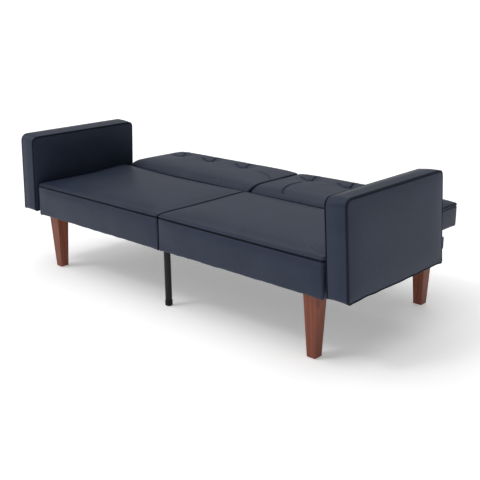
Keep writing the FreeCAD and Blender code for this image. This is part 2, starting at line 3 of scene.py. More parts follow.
import bpy
import numpy as np
from mathutils import Matrix, Vector


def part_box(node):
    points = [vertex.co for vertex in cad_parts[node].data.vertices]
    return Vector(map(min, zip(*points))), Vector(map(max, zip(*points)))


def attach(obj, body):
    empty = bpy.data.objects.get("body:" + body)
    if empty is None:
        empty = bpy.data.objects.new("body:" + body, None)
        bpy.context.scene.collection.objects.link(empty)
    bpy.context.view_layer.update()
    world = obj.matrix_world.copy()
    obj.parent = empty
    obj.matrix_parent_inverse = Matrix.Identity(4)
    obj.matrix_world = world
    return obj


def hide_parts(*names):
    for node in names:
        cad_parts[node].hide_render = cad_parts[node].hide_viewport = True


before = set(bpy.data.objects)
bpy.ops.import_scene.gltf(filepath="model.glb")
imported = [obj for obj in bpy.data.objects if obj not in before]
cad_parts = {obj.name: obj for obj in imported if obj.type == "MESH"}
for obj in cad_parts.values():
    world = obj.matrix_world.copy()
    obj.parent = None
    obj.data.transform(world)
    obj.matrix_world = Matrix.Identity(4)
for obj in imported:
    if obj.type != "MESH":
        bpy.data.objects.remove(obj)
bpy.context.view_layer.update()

# Sizes in metres, angles in degrees. A puff is the farthest that the cloth may move, and how much larger it
# is cut than the shape it covers.
COARSE = 0.012              # grid of the simulated cloth
SEAT_FINE = 0.0065          # grids of the finished leather
BACK_FINE = 0.0032
ARM_FINE = 0.008
SEAM_STEP = 0.0016          # grid beside a seam
SEAM_REACH = 0.009
SAME = 1e-6                 # grid coordinates closer than this are the same
CLEAR = 0.0005              # from a hidden face of leather to its wood, and slack in comparing heights
EDGE_REACH = 0.03           # grid beside a seat half's edges
EDGE_STEP = 0.004
RIM_REACH = 0.012           # grid beside an arm's edges
RIM_STEP = 0.002
PUFF_FRAMES = 20
PUFF_PRESSURE = 4.0
EASE_ROUNDS = 10
FULL_TURN = 2 * math.pi
WALL_SEED, HEM_SEED = 21, 31
ARM_SEEDS = {1: 11, -1: 12}                 # by side

SEAT_PUFF = (0.012, 0.002)
SEAT_SEAM_DROP = 0.013      # seam below the top of a seat half
SEAT_SEAM = (0.0055, 0.0026, 0.0027)        # depth, width and width of its shadow
SEAT_EDGE_R = 0.016
SEAT_REAR_R = 0.012         # added to the radius along Y at the rear
SEAT_INNER_R = 0.006        # edges beside the gap between the halves
SEAT_HEM_R = 0.008
SEAT_HEM_SAG = 0.002
SEAT_HEM_HEIGHT = 0.012
SEAT_WAVE = 0.0006          # unevenness of the walls below the seam
SEAT_CROWN = 0.009
SEAT_SINK = 0.003
SEAT_REAR_LIFT = 0.010      # the rear outer part of the top stands higher
SEAT_FRONT_PUFF = 0.009
SEAT_FRONT_POWER = 3.2      # higher keeps the front's fullness nearer to its seam
SEAT_LIP = (0.012, (0, -0.001, -0.006))     # reach and way of the hem's folded corners
KNEE = 0.02                 # height over the deck within which a seat half is opened from below
PUCKERS = ((98, 0.060), (112, 0.085), (126, 0.075), (141, 0.095), (156, 0.070))     # turn and length
PUCKER_START = (0.012, 0.010, 0.022)        # from the side, from the front, and on along each pucker
PUCKER_SHAPE = (0.0017, 0.0050, 0.10)       # depth, width and shade of a crease, here and below
RAIL_CLEAR = 0.0015

BACK_PUFF = (0.006, 0.004)
BACK_SEAM_DROP = 0.010
BACK_SEAM = (0.0022, 0.0022, 0.0018)
BACK_EDGE_R = 0.0075
BACK_LOW_EXTRA = 0.004      # added to the far radius at the bottom
BACK_NEAR_R = ((0.015, 0.070), (0.015, 0.017))      # near edge, along Y and Z: radius and its growth upwards
BACK_CORNER_R = {"left": 0.045, "right": 0.010}     # outer far corner, seen from above
BACK_CROWN = 0.004
BACK_FAR_LIFT = 0.0065
BACK_SINK = 0.002
BACK_LIP = (0.010, (0, 0, -0.004))
TUFT_DEPTH = 0.017
TUFT_REACH = 0.034
TUFT_STRETCH = 1.25         # along X
BUTTON_R = 0.011
BUTTON_HEIGHT = 0.006
BUTTON_DENT = (0.006, 0.015)                # depth and reach of the dent under a button
BUTTON_SHADOW = (0.0130, 0.0040)            # radius and width of the dark ring round a button
PULL_SHAPE = (0.0070, 0.0034, 0.75)
SOFT_PULL_SHAPE = (0.0022, 0.0042, 0.15)
ARC_SHAPE = (0.0018, 0.0045, 0.15)
THIN_SHAPE = (0.0028, 0.0026, 0.60)
STRONG_SHAPE = (0.0060, 0.0030, 1.20)
HALVES_APART = 0.0009       # from the middle plane to a puffed end
SLOT_SPARE = (0.0042, 0.0147)               # room past a pawl on its free side and on its hinge plate's side
SLOT_CLEAR = 0.006          # from a hinge's ear to the leather
SLOT_SKIN = 0.0025          # leather left over a slot

ARM_PUFF = (0.0025, 0.003)
ARM_EDGE_R = 0.006
ARM_CORNERS = {(-1, 1): 0.031, (1, 1): 0.022, (-1, -1): 0.014, (1, -1): 0.014}      # by way in Y and Z
ARM_TOP_RISE = 0.007        # from the inner to the outer edge of an arm's top
ARM_TOP_CROWN = 0.0065
ARM_END_CROWN = 0.002
ARM_BULGE = (-0.0015, 0.004)                # of the inner and the outer face
ARM_HEM = (0.03, 0.0022)                    # height and sag of the wavy hem
ARM_LIP = (0.011, (0.002, 0.003, -0.007))
WELT_R = 0.0023
BACK_WELT_R = 0.0020
WELT_STEP = 0.006
WELT_SIDES = 8
WELT_GROOVE = (0.0026, 0.0036, 0.0024)      # depth, place and width
WELT_SHADOW = (0.0034, 0.0020)              # place and width

CAMERA_AT = (2.4887, -2.5729, 1.2948)
CAMERA_YAW = 43.62
CAMERA_PITCH = -17.13
CAMERA_ROLL = -0.691
CAMERA_LENS = 63.67         # millimetres, on a 36 mm sensor
SUNS = (                    # name, the way its light goes, spread, strength
    ("overhead", (0, 0, -1), 60, 1.06),
    ("front", (0.30, 0.50, -0.81), 12, 0.42),
    ("left", (0.76, 0.40, -0.60), 60, 0.92),
    ("behind", (0.45, -0.6, -0.75), 40, 0.28),
    ("far", (0.64, -0.70, -0.30), 50, 0.10))
SKY = 0.18                  # brightness of the studio above the pale horizon
HORIZON = 0.04              # rise over which the horizon fades into the sky
FLOOR_REACH = 160.0
FLOOR_TONE = 0.97
FLOOR_GLOW = 0.30           # the floor is lit a little from below, which keeps its shadows pale

SIDES = {"left": -1, "right": 1}


# ---------------------------------------------------------------- grids

def lines(low, high, step, dense=()):
    """Coordinates from low to high, step apart, and closer in each (centre, reach, step) of dense."""
    marks = list(np.linspace(low, high, max(2, round((high - low) / step) + 1)))
    for centre, reach, small in dense:
        first, last = max(low, centre - reach), min(high, centre + reach)
        if last - first < small:
            continue
        marks = [m for m in marks if m < first - small / 2 or m > last + small / 2]
        marks += list(np.linspace(first, last, round((last - first) / small) + 1))
    marks = sorted(marks)
    kept = [marks[0]]
    for m in marks[1:-1]:
        if m - kept[-1] > SEAM_STEP / 2 and marks[-1] - m > SEAM_STEP / 2:
            kept.append(m)
    return np.array(kept + [marks[-1]])


def box_grid(xs, ys, zs):
    """Points and quads of a box's surface with grid lines xs, ys and zs, and the index of each grid point."""
    shell = np.zeros((len(xs), len(ys), len(zs)), bool)
    shell[[0, -1]] = True
    shell[:, [0, -1]] = True
    shell[:, :, [0, -1]] = True
    index = np.full(shell.shape, -1)
    index[shell] = np.arange(shell.sum())
    i, j, k = np.nonzero(shell)
    points = np.stack([xs[i], ys[j], zs[k]], 1)
    quads = []
    for sheet, flip in zip(faces_of(index), (True, False, False, True, True, False)):
        quad = np.stack([sheet[:-1, :-1], sheet[1:, :-1], sheet[1:, 1:], sheet[:-1, 1:]], -1)
        quad = quad.reshape(-1, 4)
        quads.append(quad[:, ::-1] if flip else quad)
    return points, np.concatenate(quads), index


def faces_of(index):
    """The grid's six faces: low and high X, low and high Y, low and high Z."""
    return [index[0], index[-1], index[:, 0], index[:, -1], index[:, :, 0], index[:, :, -1]]


def spline_weights(fine, coarse):
    """Cubic B-spline weights that carry values on the coarse lines over to the fine ones."""
    count = len(coarse)
    knots = np.concatenate([[0.0] * 3, np.arange(count - 2), [count - 3.0] * 3])
    middles = (knots[1:count + 1] + knots[2:count + 2] + knots[3:count + 3]) / 3
    t = np.clip(np.interp(fine, coarse, middles), 0, count - 3 - 1e-9)[:, None]
    basis = ((knots[:-1] <= t) & (t < knots[1:])).astype(float)
    for degree in (1, 2, 3):
        rise = knots[degree:-1] - knots[:-degree - 1]
        fall = knots[degree + 1:] - knots[1:-degree]
        up = np.where(rise > 0, (t - knots[:-degree - 1]) / np.where(rise > 0, rise, 1), 0)
        down = np.where(fall > 0, (knots[degree + 1:] - t) / np.where(fall > 0, fall, 1), 0)
        basis = up * basis[:, :-1] + down * basis[:, 1:]
    return basis


def carried(values, coarse_lines, coarse_index, fine_lines, fine_index):
    """Values at the coarse grid's points, read smoothly at the fine grid's points."""
    out = np.zeros((fine_index.max() + 1, 3))
    weights = [spline_weights(f, c) for f, c in zip(fine_lines, coarse_lines)]
    axes = [(1, 2), (1, 2), (0, 2), (0, 2), (0, 1), (0, 1)]
    for coarse, fine, (a, b) in zip(faces_of(coarse_index), faces_of(fine_index), axes):
        out[fine] = np.einsum("ia,abk,jb->ijk", weights[a], values[coarse], weights[b])
    return out


def normals_of(points, quads):
    across = np.cross(points[quads[:, 2]] - points[quads[:, 0]], points[quads[:, 3]] - points[quads[:, 1]])
    total = np.zeros_like(points)
    for corner in range(4):
        np.add.at(total, quads[:, corner], across)
    return total / np.maximum(np.linalg.norm(total, axis=1), 1e-12)[:, None]


# ---------------------------------------------------------------- shaping

def smooth(t):
    t = np.clip(t, 0, 1)
    return t * t * (3 - 2 * t)


def round_box(points, low, high, radii):
    """Rounds a box's edges, with a radius along each axis at each point."""
    inner = np.clip(points, low + radii, high - radii)
    out = (points - inner) / radii
    length = np.maximum(np.linalg.norm(out, axis=1), 1)[:, None]
    return inner + radii * out / length


def wander(points, size, seed):
    """A smooth random field from -1 to 1, its bumps about size across."""
    rng = np.random.default_rng(seed)
    total = np.zeros(len(points))
    for _ in range(9):
        way = rng.normal(size=3)
        way *= FULL_TURN / (size * rng.uniform(0.7, 1.6)) / np.linalg.norm(way)
        total += np.sin(points @ way + rng.uniform(0, FULL_TURN))
    return total / 4.5


def to_path(points, path):
    """Distance from each point to a run of straight pieces, and how far along it is, from 0 to 1."""
    best = np.full(len(points), 1e9)
    along = np.zeros(len(points))
    lengths = np.linalg.norm(np.diff(path, axis=0), axis=1)
    begun = np.concatenate([[0], np.cumsum(lengths)])
    for i, length in enumerate(lengths):
        way = (path[i + 1] - path[i]) / length
        t = np.clip((points - path[i]) @ way, 0, length)
        gap = np.linalg.norm(points - path[i] - t[:, None] * way, axis=1)
        nearer = gap < best
        best[nearer] = gap[nearer]
        along[nearer] = (begun[i] + t[nearer]) / begun[-1]
    return best, along


def bent(a, b, c, count=14):
    """A curve from a to c that leans towards b."""
    t = np.linspace(0, 1, count)[:, None]
    a, b, c = (np.array(p, float) for p in (a, b, c))
    return (1 - t) ** 2 * a + 2 * t * (1 - t) * b + t ** 2 * c


def crease(distance, width):
    """A narrow groove with a soft lip each side, 1 deep."""
    return np.exp(-(distance / width) ** 2) - 0.30 * np.exp(-((distance - 2.6 * width) / (1.5 * width)) ** 2)


def pulled(flat, creases):
    """How deep and how shaded each point is, from creases given as a path, a depth, a width and a shade."""
    depth, painted_shade = np.zeros(len(flat)), np.zeros(len(flat))
    for path, (deepest, width, shade) in creases:
        distance, along = to_path(flat, path)
        fade = smooth(along * 10) * smooth((1 - along) * 12)
        depth += deepest * fade * crease(distance, width)
        # Painted shade along each crease, fading along its length.
        painted_shade = np.maximum(painted_shade, shade * fade * (1 - 0.65 * along) * np.exp(-(distance / (0.8 * width)) ** 2))
    return depth, painted_shade


def rounded_corner(points, axes, corner, ways, radius):
    """Rounds an outline's corner in the plane of two axes; ways says which way it points, -1 or 1."""
    offsets = [(points[:, axis] - at) * way + radius for axis, at, way in zip(axes, corner, ways)]
    inside = (offsets[0] > 0) & (offsets[1] > 0)
    scale = np.maximum(*offsets) / np.maximum(np.hypot(*offsets), 1e-9)
    for axis, at, way, offset in zip(axes, corner, ways, offsets):
        points[inside, axis] = (at + way * (offset * scale - radius))[inside]


def drawn_out(points, tip, reach, way):
    """Draws a cover out towards a small point near one place, as where a hem is folded over."""
    gap = np.linalg.norm(points - tip, axis=1)
    return points + np.exp(-gap / reach)[:, None] * np.array(way)


# ---------------------------------------------------------------- meshes

def piece(name, points, quads, material, body, painted_shade=None):
    mesh = bpy.data.meshes.new(name)
    mesh.from_pydata([tuple(p) for p in points], [], [tuple(int(i) for i in q) for q in quads])
    mesh.polygons.foreach_set("use_smooth", [True] * len(mesh.polygons))
    mesh.materials.append(material)
    if painted_shade is not None:
        # This point attribute holds painted shade, which darkens the leather where it is high.
        values = np.clip(painted_shade, 0, 1).astype(np.float32)
        mesh.attributes.new("painted_shade", "FLOAT", "POINT").data.foreach_set("value", values)
    made = bpy.data.objects.new(name, mesh)
    bpy.context.scene.collection.objects.link(made)
    if body:
        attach(made, body)
    return made


def puffed(points, quads, held, puff):
    """Inflates a closed leather cover as cloth, some points held, and returns how far each point moves."""
    cap, slack = puff
    cover = piece("cover_to_puff", points, quads, None, None)
    group = cover.vertex_groups.new(name="held")
    for i in np.nonzero(held > 0)[0]:
        group.add([int(i)], float(held[i]), "REPLACE")
    cloth = cover.modifiers.new("cloth", "CLOTH")
    settings = cloth.settings
    settings.quality = 6
    settings.mass = 0.4
    settings.tension_stiffness = 20
    settings.compression_stiffness = 20
    settings.bending_stiffness = 1.0
    settings.use_pressure = True
    settings.uniform_pressure_force = PUFF_PRESSURE
    settings.shrink_min = -slack
    settings.vertex_group_mass = "held"
    settings.effector_weights.gravity = 0
    cloth.point_cache.frame_start = 1
    cloth.point_cache.frame_end = PUFF_FRAMES
    scene = bpy.context.scene
    for number in range(1, PUFF_FRAMES + 1):
        scene.frame_set(number)
    graph = bpy.context.evaluated_depsgraph_get()
    out = np.zeros(len(points) * 3)
    cover.evaluated_get(graph).data.vertices.foreach_get("co", out)
    mesh = cover.data
    bpy.data.objects.remove(cover)
    bpy.data.meshes.remove(mesh)
    scene.frame_set(1)
    moved = out.reshape(-1, 3) - points
    length = np.maximum(np.linalg.norm(moved, axis=1), 1e-9)[:, None]
    return moved * (cap * np.tanh(length / cap) / length)


def eased(moved, quads, free):
    """Evens out the finest ripples of the cloth, and leaves held points where they are."""
    for _ in range(EASE_ROUNDS):
        total = np.zeros_like(moved)
        count = np.zeros(len(moved))
        for corner in range(4):
            for step in (1, 3):
                np.add.at(total, quads[:, corner], moved[quads[:, (corner + step) % 4]])
                np.add.at(count, quads[:, corner], 1)
        moved = free[:, None] * (moved + total / count[:, None]) / 2
    return moved


def soft_block(low, high, form, held, dense, puff, fine):
    """A puffed block: its flat grid points, its shaped points, quads and index."""
    coarse_lines = [lines(low[a], high[a], COARSE) for a in range(3)]
    grid, quads, coarse_index = box_grid(*coarse_lines)
    shaped = form(grid)
    pins = held(grid)
    moved = eased(puffed(shaped, quads, pins, puff), quads, 1 - pins)
    fine_lines = [lines(low[a], high[a], fine, dense[a]) for a in range(3)]
    grid, quads, index = box_grid(*fine_lines)
    shaped = form(grid) + carried(moved, coarse_lines, coarse_index, fine_lines, index)
    return grid, shaped, quads, index


def welt(name, path, radius, material, body, closed=True):
    """Piping: a thin tube along a path of points."""
    count, ring = len(path), WELT_SIDES
    ahead = np.roll(path, -1, 0) - np.roll(path, 1, 0)
    if not closed:
        ahead[0] = path[1] - path[0]
        ahead[-1] = path[-1] - path[-2]
    ahead /= np.maximum(np.linalg.norm(ahead, axis=1), 1e-9)[:, None]
    side = np.cross(ahead, path - path.mean(0))
    side /= np.maximum(np.linalg.norm(side, axis=1), 1e-9)[:, None]
    out = np.cross(side, ahead)
    points = []
    for turn in range(ring):
        angle = FULL_TURN * turn / ring
        points.append(path + radius * (math.cos(angle) * out + math.sin(angle) * side))
    points = np.stack(points, 1).reshape(-1, 3)
    quads = []
    for i in range(count if closed else count - 1):
        j = (i + 1) % count
        for a in range(ring):
            b = (a + 1) % ring
            quads.append((i * ring + a, i * ring + b, j * ring + b, j * ring + a))
    if not closed:
        quads.append(tuple(range(ring))[::-1])
        quads.append(tuple((count - 1) * ring + a for a in range(ring)))
    piece(name, points, quads, material, body)


def evenly(path, step, closed=False):
    """Points along a path, step apart."""
    if closed:
        path = np.concatenate([path, path[:1]])
    lengths = np.linalg.norm(np.diff(path, axis=0), axis=1)
    begun = np.concatenate([[0], np.cumsum(lengths)])
    count = max(2, round(begun[-1] / step))
    marks = np.linspace(0, begun[-1], count + 1)
    if closed:
        marks = marks[:-1]
    return np.stack([np.interp(marks, begun, path[:, a]) for a in range(3)], 1)


# ---------------------------------------------------------------- materials

def shader(name, **sockets):
    made = bpy.data.materials.new(name)
    made.use_nodes = True
    principled = made.node_tree.nodes["Principled BSDF"]
    for key, value in sockets.items():
        principled.inputs[key.replace("_", " ")].default_value = value
    return made, made.node_tree, principled


def add(tree, kind, settings=None, **inputs):
    """A shader node with its settings and inputs, which are values or other nodes' outputs."""
    made = tree.nodes.new(kind)
    for key, value in (settings or {}).items():
        setattr(made, key, value)
    for key, value in inputs.items():
        socket = made.inputs[int(key[1:]) if key[0] == "i" and key[1:].isdigit() else key]
        if isinstance(value, bpy.types.NodeSocket):
            tree.links.new(value, socket)
        else:
            socket.default_value = value
    return made


def ramp(tree, factor, stops):
    made = add(tree, "ShaderNodeValToRGB", Fac=factor)
    elements = made.color_ramp.elements
    elements[0].position, elements[0].color = stops[0][0], (*stops[0][1], 1)
    elements[1].position, elements[1].color = stops[-1][0], (*stops[-1][1], 1)
    for place, colour in stops[1:-1]:
        elements.new(place).color = (*colour, 1)
    return made.outputs["Color"]


def object_coords(tree):
    return add(tree, "ShaderNodeTexCoord").outputs["Object"]


def stretched(tree, coords, scale):
    return add(tree, "ShaderNodeMapping", Vector=coords, Scale=scale).outputs["Vector"]


def bump(tree, height, strength, distance, under=None):
    inputs = {"Height": height, "Strength": strength, "Distance": distance}
    if under is not None:
        inputs["Normal"] = under
    return add(tree, "ShaderNodeBump", **inputs).outputs["Normal"]


def leather(name, dark, light, gloss):
    """Faux leather: pebbled grain, soft folds and uneven colour, darkened towards near-black by a point
    attribute that holds painted shade.
    """
    made, tree, principled = shader(
        name, Specular_IOR_Level=gloss, IOR=1.26, Specular_Tint=(0.70, 0.85, 1.0, 1),
        Coat_Weight=0.12, Coat_Roughness=0.28, Coat_IOR=1.35)
    coords = object_coords(tree)
    warp = add(tree, "ShaderNodeTexNoise", Vector=coords, Scale=420.0, Detail=2.0)
    shifted = add(tree, "ShaderNodeVectorMath", {"operation": "MULTIPLY_ADD"},
                  i0=warp.outputs["Color"], i1=(0.0012, 0.0012, 0.0012), i2=coords).outputs["Vector"]
    pebbles = add(tree, "ShaderNodeTexVoronoi", {"feature": "DISTANCE_TO_EDGE"}, Vector=shifted, Scale=620.0)
    grain = ramp(tree, pebbles.outputs["Distance"], [(0.0, (0, 0, 0)), (0.16, (1, 1, 1))])
    patches = add(tree, "ShaderNodeTexNoise", Vector=coords, Scale=5.0, Detail=4.0, Roughness=0.6)
    tone = ramp(tree, patches.outputs["Fac"], [(0.30, dark), (0.72, light)])
    deep = add(tree, "ShaderNodeMix", {"data_type": "RGBA", "blend_type": "MULTIPLY"}, i0=0.35)
    tree.links.new(tone, deep.inputs["A"])
    tree.links.new(grain, deep.inputs["B"])
    # Painted shade: the attribute mixes the colour towards near-black in seams, creases, gaps and beside
    # welts.
    painted_shade = add(tree, "ShaderNodeAttribute", {"attribute_name": "painted_shade"}).outputs["Fac"]
    shaded = add(tree, "ShaderNodeMix", {"data_type": "RGBA"}, i0=painted_shade)
    tree.links.new(deep.outputs["Result"], shaded.inputs["A"])
    shaded.inputs["B"].default_value = (*(0.15 * c for c in dark), 1)
    tree.links.new(shaded.outputs["Result"], principled.inputs["Base Color"])
    rough = add(tree, "ShaderNodeMapRange", Value=patches.outputs["Fac"])
    rough.inputs["To Min"].default_value = 0.40
    rough.inputs["To Max"].default_value = 0.54
    tree.links.new(rough.outputs["Result"], principled.inputs["Roughness"])
    folds = add(tree, "ShaderNodeTexNoise", Vector=coords, Scale=38.0, Detail=5.0, Roughness=0.55)
    first = bump(tree, folds.outputs["Fac"], 0.12, 0.004)
    tree.links.new(bump(tree, grain, 0.25, 0.00025, first), principled.inputs["Normal"])
    return made


def wood(name, scale, dark, light, gloss):
    made, tree, principled = shader(name, Specular_IOR_Level=0.35, Coat_Weight=0.1, Coat_Roughness=gloss)
    coords = object_coords(tree)
    long = stretched(tree, coords, scale)
    sway = add(tree, "ShaderNodeTexNoise", Vector=long, Scale=1.4, Detail=3.0)
    swayed = add(tree, "ShaderNodeVectorMath", {"operation": "MULTIPLY_ADD"},
                 i0=sway.outputs["Color"], i1=(0.5, 0.5, 0.5), i2=long).outputs["Vector"]
    rings = add(tree, "ShaderNodeTexWave",
                {"wave_type": "RINGS", "rings_direction": "Z", "wave_profile": "SAW"},
                Vector=swayed, Scale=2.2, Distortion=2.5, Detail=3.0)
    fibres = add(tree, "ShaderNodeTexNoise", Vector=stretched(tree, coords, tuple(12 * s for s in scale)),
                 Scale=3.0, Detail=4.0)
    blend = add(tree, "ShaderNodeMix", {"data_type": "FLOAT"}, i0=0.45)
    tree.links.new(rings.outputs["Fac"], blend.inputs[2])
    tree.links.new(fibres.outputs["Fac"], blend.inputs[3])
    tone = ramp(tree, blend.outputs[0], [(0.2, dark), (0.75, light)])
    tree.links.new(tone, principled.inputs["Base Color"])
    rough = add(tree, "ShaderNodeMapRange", Value=fibres.outputs["Fac"])
    rough.inputs["To Min"].default_value = gloss
    rough.inputs["To Max"].default_value = gloss + 0.15
    tree.links.new(rough.outputs["Result"], principled.inputs["Roughness"])
    tree.links.new(bump(tree, fibres.outputs["Fac"], 0.15, 0.0004), principled.inputs["Normal"])
    return made


def coated(name, colour, rough, metallic=0.0, speck=900.0, depth=0.0001):
    """Paint, plastic, rubber or plated steel: one colour with a fine speckle in tone, gloss and height."""
    made, tree, principled = shader(name, Metallic=metallic, Specular_IOR_Level=0.25)
    coords = object_coords(tree)
    speckle = add(tree, "ShaderNodeTexNoise", Vector=coords, Scale=speck, Detail=3.0)
    worn = add(tree, "ShaderNodeTexNoise", Vector=coords, Scale=18.0, Detail=5.0)
    low = tuple(0.8 * c for c in colour)
    high = tuple(1.25 * c for c in colour)
    tone = ramp(tree, worn.outputs["Fac"], [(0.3, low), (0.7, high)])
    tree.links.new(tone, principled.inputs["Base Color"])
    spread = add(tree, "ShaderNodeMapRange", Value=worn.outputs["Fac"])
    spread.inputs["To Min"].default_value = rough - 0.08
    spread.inputs["To Max"].default_value = rough + 0.12
    tree.links.new(spread.outputs["Result"], principled.inputs["Roughness"])
    tree.links.new(bump(tree, speckle.outputs["Fac"], 0.2, depth), principled.inputs["Normal"])
    return made


def woven(name, colour):
    made, tree, principled = shader(name, Roughness=0.95, Sheen_Weight=0.15)
    coords = object_coords(tree)
    threads = [add(tree, "ShaderNodeTexWave", {"bands_direction": way, "wave_profile": "SIN"},
                   Vector=coords, Scale=130.0).outputs["Fac"] for way in ("X", "Y")]
    weave = add(tree, "ShaderNodeMath", {"operation": "MULTIPLY"}, i0=threads[0], i1=threads[1]).outputs[0]
    fade = add(tree, "ShaderNodeTexNoise", Vector=coords, Scale=9.0, Detail=4.0).outputs["Fac"]
    mixed = add(tree, "ShaderNodeMath", {"operation": "MULTIPLY_ADD"}, i0=weave, i1=0.4, i2=fade).outputs[0]
    dark = tuple(0.6 * c for c in colour)
    light = tuple(1.5 * c for c in colour)
    tree.links.new(ramp(tree, mixed, [(0.3, dark), (1.0, light)]), principled.inputs["Base Color"])
    tree.links.new(bump(tree, weave, 0.4, 0.0004), principled.inputs["Normal"])
    return made


LEATHER = leather("navy_leather", (0.0272, 0.0355, 0.0612), (0.0388, 0.0485, 0.0806), 0.40)
# The piping is the same leather; its darker colour paints the shade in the grooves beside it.
PAINTED_SHADE_PIPING = leather("navy_piping_painted_shade", (0.0065, 0.0095, 0.0190), (0.0100, 0.0140, 0.0260), 0.25)
FINISHES = {
    "faux_leather": LEATHER,
    "foam_pad": LEATHER,
    "stained_wood": wood("cherry_stain", (7.0, 7.0, 0.6), (0.155, 0.031, 0.012), (0.235, 0.055, 0.022), 0.40),
    "plywood": wood("raw_plywood", (0.6, 5.0, 5.0), (0.36, 0.24, 0.13), (0.62, 0.46, 0.29), 0.6),
    "black_steel": coated("black_powder_coat", (0.010, 0.011, 0.015), 0.42),
    "zinc_steel": coated("zinc_plate", (0.52, 0.53, 0.55), 0.32, metallic=1.0, speck=2600.0),
    "dust_cloth": woven("black_dust_cloth", (0.012, 0.012, 0.014)),
    "nylon": coated("nylon_glide", (0.025, 0.025, 0.027), 0.5),
    "foot_rubber": coated("foot_rubber", (0.012, 0.012, 0.013), 0.7, depth=0.0003),
}
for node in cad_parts.values():
    for place in node.material_slots:
        place.material = FINISHES[place.material.name]
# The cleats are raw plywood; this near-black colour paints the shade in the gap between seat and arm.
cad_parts["arm_cleats"].material_slots[0].material = wood(
    "cleat_darkened_as_painted_shade", (0.6, 5.0, 5.0), (0.010, 0.010, 0.013), (0.020, 0.019, 0.023), 0.6)


# ---------------------------------------------------------------- seat halves

def seat_creases(side, low, high):
    """Small puckers that fan out over the top from the right half's front corner."""
    found = []
    from_side, from_front, onward = PUCKER_START
    if side > 0:
        for turn, reach in PUCKERS:
            way = np.array((math.cos(math.radians(turn)), math.sin(math.radians(turn))))
            start = np.array((high[0] - from_side, low[1] + from_front)) + onward * way
            found.append((bent(start, start + way * reach / 2, start + way * reach), PUCKER_SHAPE))
    return found


def seat_half(name, side):
    low, high = (np.array(corner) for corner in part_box(f"seat_pad_{name}"))
    middle, half = (low + high) / 2, (high - low) / 2
    seam = high[2] - SEAT_SEAM_DROP

    def form(points):
        up = smooth((points[:, 2] - low[2]) / (high[2] - low[2]))
        rear = smooth((points[:, 1] - middle[1]) / half[1])
        inner = smooth(-side * (points[:, 0] - middle[0]) / half[0])
        along_y = SEAT_HEM_R + (SEAT_EDGE_R + SEAT_REAR_R * rear - SEAT_HEM_R) * up
        outer_x = SEAT_HEM_R + (SEAT_EDGE_R - SEAT_HEM_R) * up
        along_x = outer_x + (SEAT_INNER_R - outer_x) * inner
        along_z = SEAT_HEM_R + (SEAT_EDGE_R + 0.004 * rear - 0.007 * inner - SEAT_HEM_R) * up
        shaped = round_box(points, low, high, np.stack([along_x, along_y, along_z], 1))
        across, deep = ((points[:, a] - middle[a]) / half[a] for a in (0, 1))
        crown = (1 - abs(across) ** 3.0) * (1 - abs(deep) ** 3.5)
        lift = SEAT_REAR_LIFT * rear * smooth(side * across * 0.7 + 0.1)
        shaped[:, 2] += up * (SEAT_CROWN * crown - SEAT_SINK + lift)
        height = np.clip((points[:, 2] - low[2]) / (seam - low[2]), 0, 1)
        face = np.sin(math.pi * height ** SEAT_FRONT_POWER)
        shaped[:, 1] -= SEAT_FRONT_PUFF * smooth(-deep * 4 - 3) * (1 - across ** 8) * face
        return shaped

    def held(points):
        at_seam = (abs(points[:, 2] - seam) < COARSE * 0.7) & (points[:, 2] < high[2] - SAME)
        low_edge = points[:, 2] < low[2] + SAME
        return (at_seam | low_edge).astype(float)

    arm_end = high[0] if side > 0 else low[0]
    dense = [[(end[a], EDGE_REACH, EDGE_STEP) for end in (low, high)] for a in (0, 1)]
    dense[0].append((arm_end, 0.0012, 0.0012))
    dense.append([(seam, SEAM_REACH, SEAM_STEP), (low[2], 0.02, EDGE_STEP)])
    grid, shaped, quads, _ = soft_block(low, high, form, held, dense, SEAT_PUFF, SEAT_FINE)
    normals = normals_of(shaped, quads)
    walls = (grid[:, 2] > low[2] + SAME) & (grid[:, 2] < high[2] - SAME)
    top = grid[:, 2] > high[2] - SAME
    off_seam = abs(grid[:, 2] - seam)
    seam_depth, seam_width, shadow = SEAT_SEAM
    depth = seam_depth * crease(off_seam, seam_width) * walls
    # Painted shadow along the seam.
    painted_shade = np.exp(-(off_seam / shadow) ** 2) * walls
    below = smooth((seam - grid[:, 2]) / 0.01) * walls
    depth += below * SEAT_WAVE * wander(grid, 0.15, WALL_SEED + side)
    pucker, shade = pulled(grid[:, :2], seat_creases(side, low, high))
    depth += top * pucker
    # Painted shade in the puckers.
    painted_shade = np.maximum(painted_shade, top * shade)
    hem = smooth((low[2] + SEAT_HEM_HEIGHT - grid[:, 2]) / SEAT_HEM_HEIGHT)
    shaped = shaped - normals * depth[:, None]
    shaped[:, 2] -= hem * SEAT_HEM_SAG * (0.5 + 0.5 * wander(grid, 0.06, HEM_SEED + side))
    for x in (low[0], high[0]):
        shaped = drawn_out(shaped, (x, low[1], low[2]), *SEAT_LIP)
    shaped[:, 0] = side * np.maximum(side * shaped[:, 0], HALVES_APART)
    shaped[:, 1] = np.minimum(shaped[:, 1], high[1])
    # Painted shade over the inner end face, in the gap between the halves.
    painted_shade = np.maximum(painted_shade, 0.9 * (abs(grid[:, 0]) < abs(grid[:, 0]).min() + SAME))
    shaped = over_base(grid, shaped, name, low)
    made = piece(f"seat_cushion_{name}", shaped, quads, LEATHER, "base", painted_shade)
    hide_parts(f"seat_pad_{name}")


